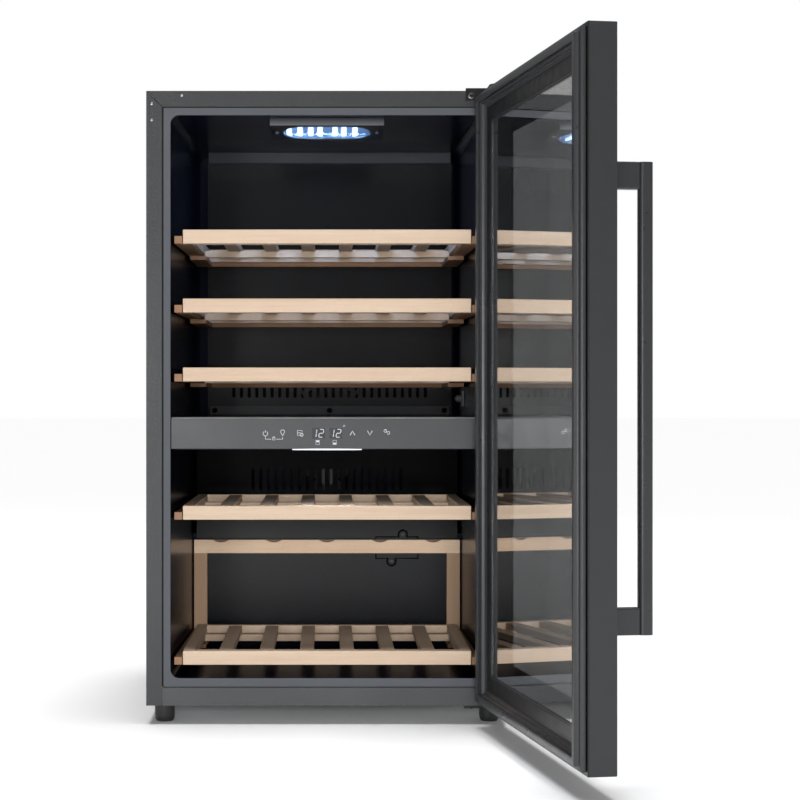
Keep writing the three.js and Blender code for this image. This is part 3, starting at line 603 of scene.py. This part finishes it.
def screw_mesh():
    """A cross-recessed pan head of 1 mm radius, seated at local Z = 0."""
    bm = bmesh.new()
    dome = [(1.0, -0.15), (1.0, 0.18), (0.93, 0.36), (0.74, 0.52), (0.45, 0.6), (0.15, 0.62)]
    lathe(bm, [(r * MM, h * MM) for r, h in dome], 32)
    head = bpy.data.objects.new("head", finished("screw_head", bm))
    cross = bmesh.new()
    wide, narrow = 0.62 * MM, 0.13 * MM
    ring = [(narrow, wide), (-narrow, wide), (-narrow, narrow), (-wide, narrow), (-wide, -narrow),
            (-narrow, -narrow), (-narrow, -wide), (narrow, -wide), (narrow, -narrow), (wide, -narrow),
            (wide, narrow), (narrow, narrow)]
    prism(cross, [(x, y, 0.22 * MM) for x, y in ring], (0, 0, 1.0 * MM))
    cutter = bpy.data.objects.new("cutter", finished("screw_cross", cross))
    for obj in (head, cutter):
        bpy.context.scene.collection.objects.link(obj)
    cut = head.modifiers.new("cross", "BOOLEAN")
    cut.object = cutter
    cut.solver = "EXACT"
    graph = bpy.context.evaluated_depsgraph_get()
    mesh = bpy.data.meshes.new_from_object(head.evaluated_get(graph))
    bpy.data.objects.remove(head)
    bpy.data.objects.remove(cutter)
    mesh.set_sharp_from_angle(angle=math.radians(35))
    return mesh


SCREW = screw_mesh()


def screw(name, point, normal, radius, material=SCREW_BLACK, body="cabinet", place=Matrix()):
    """A cross-head screw seated at point, its radius in millimetres; place turns a door's screw open."""
    where = place @ facing(normal, point) @ Matrix.Rotation(0.5, 4, "Z") @ Matrix.Scale(radius, 4)
    return place_mesh(name, SCREW.copy(), material, body, where)


# ---------------------------------------------------------------- case details

def case_screws():
    """Flange plugs near the top left corner, and the screws of both hinge plates."""
    low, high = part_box("side_panel_left")
    forward = (0, -1, 0)
    plugs = [(47.3, 6.3), (7.5, 17.3), (7.5, 38.7)]
    for i, (across, down) in enumerate(plugs, 1):
        point = Vector((low.x + across * MM, FRONT, high.z - down * MM))
        screw(f"flange_screw_{i}", point, forward, 2.0, material=SCREW_STEEL)
    tab_low, tab_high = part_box("hinge_plate_top")
    tab_face = FRONT - 1.8 * MM
    seat = Vector((tab_low.x + 7.5 * MM, tab_face, tab_high.z - 10.3 * MM))
    bm = bmesh.new()
    lathe(bm, [(r * MM, h * MM) for r, h in ((4.2, -0.1), (4.2, 0.35), (3.9, 0.5), (1.0, 0.5))], 32)
    washer = finished("hinge_tab_washer", bm)
    place_mesh("hinge_tab_washer", washer, SCREW_GREY, "cabinet", facing(forward, seat))
    screw("hinge_tab_screw", seat + Vector((0, -0.4 * MM, 0)), forward, 2.5)
    for i, (across, back) in enumerate([(12, 14), (12, 30), (42, 22)], 1):
        point = Vector((tab_low.x + across * MM, FRONT + back * MM, tab_high.z - 1.6 * MM))
        screw(f"hinge_top_screw_{i}", point, UP, 3.4)
    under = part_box("hinge_plate_bottom")[0]
    for i, across in enumerate([10, 24, 38], 1):
        point = Vector((under.x + across * MM, FRONT + 9 * MM, under.z))
        screw(f"hinge_bottom_screw_{i}", point, -UP, 3.2)


SUNK = 1.4 * MM  # how deep the heads on the back sit in the sheet


def back_screws():
    """Screws round the back panel, the grille and the mains inlet."""
    low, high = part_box("back_panel")
    y = high.y - SUNK
    inset = 8 * MM
    xs = [low.x + inset, low.x / 3, high.x / 3, high.x - inset]
    points = [(x, z) for z in (high.z - inset, low.z + inset) for x in xs]
    points += [(x, (low.z * (3 - k) + high.z * k) / 3) for k in (1, 2) for x in (xs[0], xs[-1])]
    grille_low, grille_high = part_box("rear_grille")
    points += [(x, grille_low.z + inset) for x in xs]
    points += [(x, grille_high.z - inset) for x in (xs[0], xs[-1])]
    for i, (x, z) in enumerate(points, 1):
        screw(f"back_screw_{i:02d}", Vector((x, y, z)), (0, 1, 0), 3.2, SCREW_STEEL)
    inlet_low, inlet_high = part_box("mains_inlet")
    middle = (inlet_low.z + inlet_high.z) / 2
    for side, x in (("left", inlet_low.x + 5 * MM), ("right", inlet_high.x - 5 * MM)):
        point = Vector((x, inlet_high.y - SUNK, middle))
        screw(f"inlet_screw_{side}", point, (0, 1, 0), 2.4)


def inlet_pins():
    """The three blades inside the mains inlet."""
    low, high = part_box("mains_inlet")
    x, z = (low.x + high.x) / 2, (low.z + high.z) / 2
    half_x, half_z, length = 1 * MM, 2 * MM, 17 * MM
    bm = bmesh.new()
    for dx, dz in ((-7, -1.5), (7, -1.5), (0, 2)):
        cx, cz = x + dx * MM, z + dz * MM
        ring = [(cx + sx * half_x, low.y + 2 * MM, cz + sz * half_z) for sx, sz in CORNERS]
        prism(bm, ring, (0, length, 0))
    bmesh.ops.bevel(bm, geom=bm.edges, offset=0.3 * MM, segments=2, affect="EDGES")
    place_mesh("inlet_pins", finished("inlet_pins", bm), SCREW_STEEL, "cabinet")


def back_beads():
    """Pressed stiffening beads on the back panel."""
    low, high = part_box("back_panel")
    reach = high.x - 60 * MM
    radius, steps = 5 * MM, 12
    for i, share in enumerate((0.25, 0.5, 0.75), 1):
        z = low.z * (1 - share) + high.z * share
        bm = bmesh.new()
        outline = []
        for side in (1, -1):
            for step in range(steps + 1):
                turn = math.pi * step / steps - math.pi / 2
                x = side * (reach + radius * math.cos(turn))
                outline.append((x, high.y - 0.2 * MM, z + side * radius * math.sin(turn)))
        prism(bm, outline, (0, 0.9 * MM, 0))
        mesh = finished(f"back_bead_{i}", bm)
        bead = place_mesh(f"back_bead_{i}", mesh, SLOT_LOOKS["galvanised"], "cabinet")
        round_over(bead, 0.6)


# ---------------------------------------------------------------- inside the cavity

def duct_screws():
    """Screws sunk in the pockets of the duct's ridge, near-black as painted shade in the pockets."""
    low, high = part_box("upper_duct_cover")
    middle, spacing = (low.x + high.x) / 2, 175 * MM
    for i in (-1, 0, 1):
        point = Vector((middle + i * spacing, low.y + 2.7 * MM, low.z + 6.25 * MM))
        # Their near-black is painted shade in the pockets.
        screw(f"duct_screw_{i + 2}", point, (0, -1, 0), 3.6, material=SHADOW_GAP_BLACK)


def painted_light_band():
    """A soft strip over the gap between the duct's top and the liner; its paler rubber paints the band of lamp
    light on the wall above the duct.
    """
    low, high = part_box("upper_duct_cover")
    width, depth = 19 * MM, 20 * MM
    y, foot = low.y + 6 * MM, high.z + 0.2 * MM
    head = foot + width
    bm = bmesh.new()
    prism(bm, [(low.x, y, foot), (high.x, y, foot), (high.x, y, head), (low.x, y, head)], (0, depth, 0))
    strip = place_mesh("painted_light_band", finished("painted_light_band", bm), LIGHT_BAND_RUBBER, "cabinet")
    round_over(strip, 2)


def cover_details():
    """The sensor cover's two screws, and a black outline round its edge that paints the shadow in the gap there.
    """
    low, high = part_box("lower_sensor_cover")
    right, head = (high.x - low.x) / MM, (high.z - low.z) / MM
    overlap = 0.5
    bottom, top = 11 + overlap, head - 10 - overlap
    lower_ear = (24, 7)
    upper_ear = (41, head - 7)
    radius = 7 - overlap
    outline = [(overlap, bottom), *arc(*lower_ear, radius, 136, 404), (right - overlap, bottom),
               (right - overlap, top), *arc(*upper_ear, radius, -33, 213), (overlap, top),
               (overlap, bottom)]
    corner = Vector((low.x, low.y, low.z))
    origin = corner + Vector((0, 0.1 * MM, 0))
    # Painted shadow: a black outline round the cover stands for its shadow gap.
    strokes("cover_painted_shadow_gap", [outline], 2.8, SHADOW_GAP_BLACK, origin)
    for i, (x, z) in enumerate((upper_ear, lower_ear), 1):
        point = corner + Vector((x * MM, 0, z * MM))
        screw(f"cover_screw_{i}", point, (0, -1, 0), 2.8, SCREW_GREY)


def light_tilt():
    """Local Z points up into the light's housing, square to its sloping lens."""
    low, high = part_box("upper_light_lens")
    thickness = 2.2 * MM
    slope = math.atan2(high.z - low.z - thickness, high.y - low.y)
    return Matrix.Translation((low + high) / 2) @ Matrix.Rotation(-slope, 4, "X")


def light_row():
    """The board and its seven diode windows behind the upper lens, and the light's two end screws."""
    tilt = light_tilt()
    bm = bmesh.new()
    half_x, half_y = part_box("upper_light_lens")[1].x - 3 * MM, 27 * MM
    prism(bm, [(sx * half_x, sy * half_y, 4.4 * MM) for sx, sy in CORNERS], (0, 0, 1.0 * MM))
    place_mesh("light_board", finished("light_board", bm), LIGHT_BOARD, "cabinet", tilt)
    end, half_length, points = 3.3 * MM, 22 * MM, 16
    for i, x in enumerate((-51.3, -36.7, -22.0, -9.5, 10.9, 22.8, 38.0), 1):
        bm = bmesh.new()
        ring = []
        for k in range(points):
            turn = 2 * math.pi * (k + 0.5) / points
            straight = math.copysign(half_length - end, math.sin(turn))
            ring.append((x * MM + end * math.cos(turn), 3 * MM + straight + end * math.sin(turn), 2.6 * MM))
        prism(bm, ring, (0, 0, 1.2 * MM))
        place_mesh(f"light_diode_{i}", finished("light_diode", bm), DIODE, "cabinet", tilt)
    for side in (-1, 1):
        name = "left" if side < 0 else "right"
        point = tilt @ Vector((side * 68 * MM, 0, -1.1 * MM))
        screw(f"light_screw_{name}", point, tilt.to_3x3() @ Vector((0, 0, -1)), 2.4,
              material=SCREW_GREY)


# ---------------------------------------------------------------- control panel marks

FASCIA_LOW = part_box("control_fascia")[0]
PANEL = Vector((0, FASCIA_LOW.y, FASCIA_LOW.z))  # the middle of the panel's lower front edge


def strokes(name, lines, width, material, origin):
    """Flat round-ended strokes on a face: each line is a list of (x, z) in millimetres from origin."""
    curve = bpy.data.curves.new(name, "CURVE")
    curve.dimensions = "3D"
    curve.bevel_depth = width / 2 * MM
    curve.bevel_resolution = 2
    curve.use_fill_caps = True
    for line in lines:
        spline = curve.splines.new("POLY")
        closed = line[0] == line[-1]
        points = line[:-1] if closed else line
        spline.points.add(len(points) - 1)
        for point, (x, z) in zip(spline.points, points):
            point.co = (x * MM, 0, z * MM, 1)
        spline.use_cyclic_u = closed
    curve.materials.append(material)
    obj = bpy.data.objects.new(name, curve)
    bpy.context.scene.collection.objects.link(obj)
    obj.location = origin
    obj.scale = (1, 0.18, 1)
    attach(obj, "cabinet")


def arc(cx, cz, r, start, end, steps=16):
    """Points round (cx, cz) from start to end degrees, closed when that is a full turn."""
    turns = [math.radians(start + (end - start) * i / steps) for i in range(steps + 1)]
    points = [(cx + r * math.cos(t), cz + r * math.sin(t)) for t in turns]
    if abs(end - start) == 360:
        points[-1] = points[0]
    return points


def box_line(x0, x1, z0, z1):
    """A closed rectangle."""
    return [(x0, z0), (x1, z0), (x1, z1), (x0, z1), (x0, z0)]


PRINT = PANEL - Vector((0, 0.02 * MM, 0))  # printed marks lie just on the panel's face


def touch_marks():
    """Power, lamp and lock marks on a bracket, a shelf mark, the two arrows and a fan mark."""
    power = [arc(-81.8, 20.2, 3.1, 120, 420), [(-81.8, 21.7), (-81.8, 24.8)]]
    lamp = [arc(-59, 22.6, 2.6, -55, 235), [(-60.3, 20.5), (-60.3, 18.8), (-57.7, 18.8), (-57.7, 20.5)],
            [(-59.8, 17.8), (-58.2, 17.8)]]
    bracket = [[(-81.8, 17.2), (-81.8, 12.8), (-74.2, 12.8)], [(-67.2, 12.8), (-59, 12.8), (-59, 15.6)]]
    lock = [box_line(-72.3, -69.1, 11.8, 14.6), arc(-70.7, 14.8, 1.2, 0, 180, 8)]
    shelf = [box_line(-39.4, -33.2, 18, 24.4), [(-39.4, 21.2), (-35, 21.2)], arc(-33.6, 18.6, 2, 0, 360)]
    fan = [arc(77.6, 23.8, 1.9, 30, 330), arc(81.6, 21.2, 1.9, -150, 150), [(77.6, 25.7), (80, 21.4)]]
    strokes("touch_marks", power + lamp + bracket + lock + shelf + fan, 0.6, PRINT_WHITE, PRINT)
    up = [[(30.7, 18.1), (33.9, 23.8), (37.1, 18.1)]]
    down = [[(53.7, 24), (56.9, 18.3), (60.1, 24)]]
    strokes("arrow_marks", up + down, 0.85, PRINT_WHITE, PRINT)
    strokes("degree_mark", [arc(22.6, 30.5, 0.9, 0, 360)], 0.4, DIGIT_WHITE, PRINT)


def zone_marks():
    """A small square for each zone, its own half filled."""
    lines = []
    for x, z, upper in ((-12.4, 8.6, 1), (10.2, 8.4, -1)):
        lines.append(box_line(x - 2.4, x + 2.4, z - 2.7, z + 2.7))
        for k in range(4):
            level = z + upper * (0.5 + 0.55 * k)
            lines.append([(x - 1.9, level), (x + 1.9, level)])
    strokes("zone_marks", lines, 0.5, PRINT_WHITE, PRINT)


SEGMENTS = {"1": "bc", "2": "abged"}


def digit_segments(left, low, figure):
    """Slanted seven-segment bars of a figure, as outlines in (x, z) millimetres."""
    wide, tall, half_thick, gap, slant = 5.4, 10.4, 0.45, 0.2, 0.14
    half = tall / 2
    bars = {
        "a": (0, tall, wide, tall), "g": (0, half, wide, half), "d": (0, 0, wide, 0),
        "b": (wide, half, wide, tall), "c": (wide, 0, wide, half), "e": (0, 0, 0, half),
    }
    outlines = []
    for key in SEGMENTS[figure]:
        x0, z0, x1, z1 = bars[key]
        t = half_thick
        if z0 == z1:
            ring = [(x0 + gap, z0), (x0 + gap + t, z0 + t), (x1 - gap - t, z0 + t), (x1 - gap, z0),
                    (x1 - gap - t, z0 - t), (x0 + gap + t, z0 - t)]
        else:
            ring = [(x0, z0 + gap), (x0 + t, z0 + gap + t), (x0 + t, z1 - gap - t), (x0, z1 - gap),
                    (x0 - t, z1 - gap - t), (x0 - t, z0 + gap + t)]
        outlines.append([(left + x + slant * z, low + z) for x, z in ring])
    return outlines


def on_panel(x, z, proud):
    """The place of (x, z) in the panel's millimetres, lifted off its face by proud metres."""
    return PANEL + Vector((x * MM, -proud, z * MM))


def displays():
    """Two smoked windows with a slanted two-digit figure in each."""
    windows = bmesh.new()
    digits = bmesh.new()
    half_width, bottom, top, foot = 8.6, 13.8, 27.6, 15.5
    for centre in (-11.3, 11.7):
        x0, x1 = centre - half_width, centre + half_width
        pane = [on_panel(x, z, 0.05 * MM) for x, z in ((x0, bottom), (x1, bottom), (x1, top), (x0, top))]
        prism(windows, pane, (0, 0.2 * MM, 0))
        for offset, figure in ((-8.9, "1"), (0.2, "2")):
            for outline in digit_segments(centre + offset, foot, figure):
                prism(digits, [on_panel(x, z, 0.1 * MM) for x, z in outline], (0, 0.1 * MM, 0))
    smoked = satin_paint("display_window", (0.045, 0.047, 0.05), 0.12)
    place_mesh("display_windows", finished("display_windows", windows), smoked, "cabinet")
    place_mesh("display_digits", finished("display_digits", digits), DIGIT_WHITE, "cabinet")


# ---------------------------------------------------------------- door details

def door_gasket():
    """The magnetic seal: a broad foot, a lobe on each side, and the magnet strip that meets the case."""
    low, high = shut_box("door_frame")
    shape = [
        (6.0, -12.9), (4.7, -12.0), (4.5, -9.5), (4.8, -8.0), (6.5, -6.6), (9.5, -5.8), (10.3, -4.6),
        (10.4, -0.9), (11.0, -0.5), (18.4, -0.5), (19.0, -0.9), (19.0, -4.6), (18.5, -5.6),
        (20.2, -6.4), (21.0, -7.6), (21.2, -9.5), (22.5, -11.2), (26.0, -12.3), (26.0, -12.9),
    ]
    bm = bmesh.new()
    mitred_loop(bm, high.x, low.z, high.z, [(inset * MM, FRONT + y * MM) for inset, y in shape])
    mesh = finished("door_seal", bm, 50)
    obj = place_mesh("door_seal", mesh, SLOT_LOOKS["seal_rubber"], "door", DOOR)
    round_over(obj, 0.25)
    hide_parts("door_gasket")


def frame_print():
    """The black border printed on the back of the outer pane."""
    low, high = shut_box("front_glass")
    y = high.y + 0.04 * MM
    outer, inner, thickness = 0.3 * MM, 60 * MM, 0.2 * MM
    border = [(outer, y), (inner, y), (inner, y + thickness), (outer, y + thickness)]
    bm = bmesh.new()
    mitred_loop(bm, high.x, low.z, high.z, border)
    mesh = finished("front_glass_print", bm)
    place_mesh("front_glass_print", mesh, BLACK_PRINT, "door", DOOR)


def pane_trim():
    """The bead that holds the inner pane in the frame."""
    low, high = shut_box("inner_glass")
    profile = [(-0.5, 0.1), (2.2, 0.1), (2.4, 0.4), (2.0, 0.9), (0.6, 1.4), (-0.3, 1.4), (-0.5, 1.2)]
    bm = bmesh.new()
    mitred_loop(bm, high.x, low.z, high.z, [(inset * MM, high.y + d * MM) for inset, d in profile])
    bead = finished("pane_bead", bm, 30)
    place_mesh("pane_bead", bead, SLOT_LOOKS["seal_rubber"], "door", DOOR)


def door_corner_screws():
    """A screw near each corner on the inner face of the door frame."""
    low, high = shut_box("door_frame")
    inset = 8.5 * MM
    corners = [(x, z) for z in (low.z + inset, high.z - inset) for x in (low.x + inset, high.x - inset)]
    for i, (x, z) in enumerate(corners, 1):
        point = Vector((x, high.y, z))
        screw(f"door_corner_screw_{i}", point, (0, 1, 0), 2.6, body="door", place=DOOR)


# ---------------------------------------------------------------- feet

def foot_ribs():
    """Grip ribs round each foot."""
    count = 24
    half, rise = 0.75 * MM, 8 * MM
    for node in ("foot_front_left", "foot_front_right", "foot_rear_left", "foot_rear_right"):
        low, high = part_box(node)
        centre = (low + high) / 2
        radius = (high.x - low.x) / 2
        inner, outer = radius - 1.2 * MM, radius + 0.1 * MM
        rib = [(inner, -half, 0), (outer, -half * 0.5, 0), (outer, half * 0.5, 0), (inner, half, 0)]
        bm = bmesh.new()
        for i in range(count):
            turn = Matrix.Rotation(2 * math.pi * i / count, 4, "Z")
            prism(bm, [turn @ Vector(p) for p in rib], (0, 0, 15 * MM))
        name = f"{node}_ribs"
        where = Matrix.Translation((centre.x, centre.y, low.z + rise))
        body = node.replace("foot", "levelling_foot")
        place_mesh(name, finished(name, bm), SLOT_LOOKS["foot_rubber"], body, where)


# ---------------------------------------------------------------- studio

WORLD_DIFFUSE = 0.13
WORLD_GLOSSY = 0.25


def area_light(name, place, aim, size, power, color=(1, 1, 1), mirrored=False):
    """A rectangular light; only a mirrored one shows in glossy surfaces."""
    light = bpy.data.lights.new(name, "AREA")
    light.shape = "RECTANGLE"
    light.size, light.size_y = size
    light.energy = power
    light.color = color
    obj = bpy.data.objects.new(name, light)
    bpy.context.scene.collection.objects.link(obj)
    obj.location = place
    obj.rotation_mode = "QUATERNION"
    obj.rotation_quaternion = (Vector(aim) - Vector(place)).to_track_quat("-Z", "Y")
    obj.visible_glossy = mirrored
    obj.visible_transmission = False


def surround():
    """White to the camera, also through glass; dimmer as light on the object and in its reflections."""
    world = bpy.data.worlds.new("studio_white")
    world.use_nodes = True
    tree = world.node_tree
    background = tree.nodes["Background"]
    background.inputs["Color"].default_value = (1, 1, 1, 1)
    path = tree.nodes.new("ShaderNodeLightPath").outputs

    def node(kind, inputs, **settings):
        made = tree.nodes.new(kind)
        for key, value in settings.items():
            setattr(made, key, value)
        for key, value in inputs.items():
            if isinstance(value, bpy.types.NodeSocket):
                tree.links.new(value, made.inputs[key])
            else:
                made.inputs[key].default_value = value
        return made.outputs[0]

    direct = node("ShaderNodeMath", {0: path["Diffuse Depth"], 1: 0.5}, operation="LESS_THAN")
    through = node("ShaderNodeMath", {0: path["Is Transmission Ray"], 1: direct}, operation="MULTIPLY")
    seen = node("ShaderNodeMath", {0: path["Is Camera Ray"], 1: through}, operation="MAXIMUM")
    levels = {"To Min": WORLD_DIFFUSE, "To Max": WORLD_GLOSSY}
    dim = node("ShaderNodeMapRange", {"Value": path["Is Glossy Ray"], **levels})
    level = node("ShaderNodeMapRange", {"Value": seen, "To Min": dim, "To Max": 1.0})
    tree.links.new(level, background.inputs["Strength"])
    bpy.context.scene.world = world


def studio_floor():
    """A wide pale floor, which the overhead light takes to white."""
    bm = bmesh.new()
    reach = 40
    for x, y in CORNERS:
        bm.verts.new((x * reach, y * reach, FLOOR))
    bm.faces.new(bm.verts)
    floor = bpy.data.objects.new("studio_floor", finished("studio_floor", bm))
    pale = Look("studio_floor", (0.93, 0.93, 0.93), 0.8, 0.0, Specular_IOR_Level=0.1)
    pale.tinted(pale.noise(0.7, 2), 0.99, 1.0)
    floor.data.materials.append(pale.material)
    bpy.context.scene.collection.objects.link(floor)


def overhead():
    """Broad light straight down, which brings the floor up to white."""
    light = bpy.data.lights.new("overhead", "SUN")
    light.angle = math.radians(30)
    light.energy = 3.0
    obj = bpy.data.objects.new("overhead", light)
    bpy.context.scene.collection.objects.link(obj)
    obj.location = (0, 0, 3)


def studio():
    surround()
    studio_floor()
    overhead()
    area_light("key_box", (-0.92, -3.2, 0.44), (0, -0.1, 0.4), (0.45, 0.6), 15, mirrored=True)
    area_light("front_box", (0.2, -5.2, 0.7), (0, 0, 0.4), (1.0, 1.0), 122)
    area_light("fill_box", (2.4, -2.2, 1.4), (0, -0.2, 0.4), (1.4, 2.0), 6)
    area_light("back_box", (1.2, 3.0, 2.2), (0, 0, 0.4), (1.8, 1.4), 16)


def cavity_lights():
    """The cool light that the diodes throw into the top zone, and the faint one under the control panel."""
    low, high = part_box("upper_light_lens")
    spot = Vector((0, (low.y + high.y) / 2, low.z - 3 * MM))
    cool = (0.32, 0.55, 1.0)
    area_light("upper_zone_light", spot, spot + Vector((0, 0.02, -1)), (0.1, 0.03), 0.42, cool)
    area_light("wall_wash", spot, spot + Vector((0, 1, -0.1)), (0.1, 0.01), 0.45, cool)
    low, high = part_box("lower_light_lens")
    spot = Vector((0, (low.y + high.y) / 2, low.z - 1.5 * MM))
    area_light("lower_zone_light", spot, spot - UP, (0.08, 0.015), 0.12, (0.85, 0.92, 1.0))


def camera():
    """At mid-height, square to the case's front, and shifted to take in the open door."""
    data = bpy.data.cameras.new("camera")
    data.lens, data.sensor_width = 86.4, 36.0
    data.shift_x, data.shift_y = 0.09125, -0.00125
    obj = bpy.data.objects.new("camera", data)
    bpy.context.scene.collection.objects.link(obj)
    obj.location = (0, FRONT - 2.548, 0.407)
    obj.rotation_euler = (math.pi / 2, 0, 0)
    bpy.context.scene.camera = obj


# ---------------------------------------------------------------- making

dress_nodes()
round_edges()
case_screws()
back_screws()
inlet_pins()
back_beads()
duct_screws()
painted_light_band()
cover_details()
light_row()
touch_marks()
zone_marks()
displays()
door_gasket()
frame_print()
pane_trim()
door_corner_screws()
foot_ribs()
studio()
cavity_lights()
camera()
bpy.context.scene.view_settings.view_transform = "Standard"
